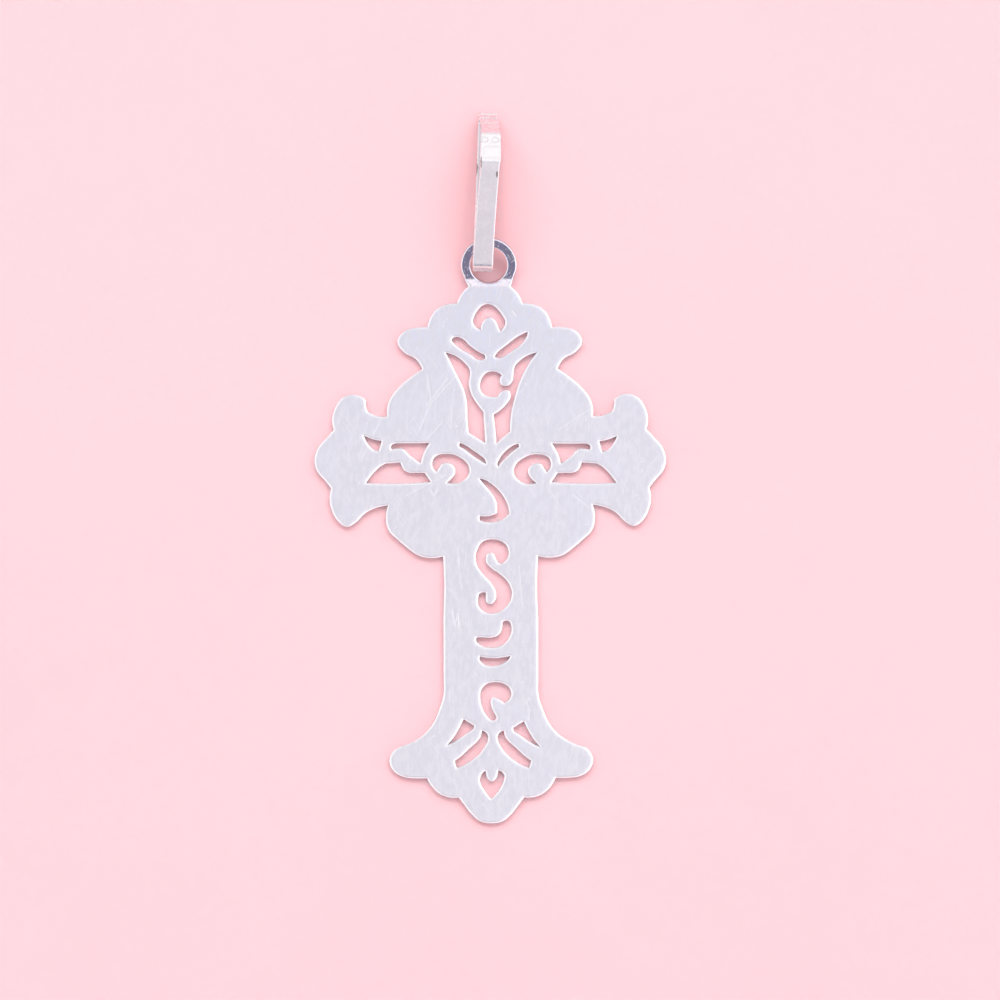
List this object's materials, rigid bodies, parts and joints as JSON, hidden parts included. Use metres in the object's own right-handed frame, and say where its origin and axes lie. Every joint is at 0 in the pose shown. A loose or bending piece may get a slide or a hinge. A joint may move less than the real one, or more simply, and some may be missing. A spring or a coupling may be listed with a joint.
{
  "type": "pendant cross",
  "caption": "Flat pierced silver cross with scrolled openings, lobed arms and a flared foot, with a ring at the top and a long strap bail that swings on it.",
  "frame": {"origin": "middle of the bounding box on the plane that the cross lies on, face up", "axes": "+X along the arms to the viewer's right, +Y from the foot towards the bail, +Z out of the face"},
  "size_m": [0.0316, 0.0638, 0.0045],
  "materials": {
    "satin_silver": "satin, fine lengthwise grain with scratches",
    "polished_silver": "worn polish"
  },
  "bodies": {
    "cross": {"cross_plate": "satin_silver"},
    "bail": {"bail": "polished_silver"}
  },
  "joints": [
    {"name": "bail_swing", "type": "hinge", "parent": "cross", "child": "bail", "pos_m": [0, 0.01989, 0.00139], "axis": [1, 0, 0], "range_deg": [-125, 150]}
  ]
}
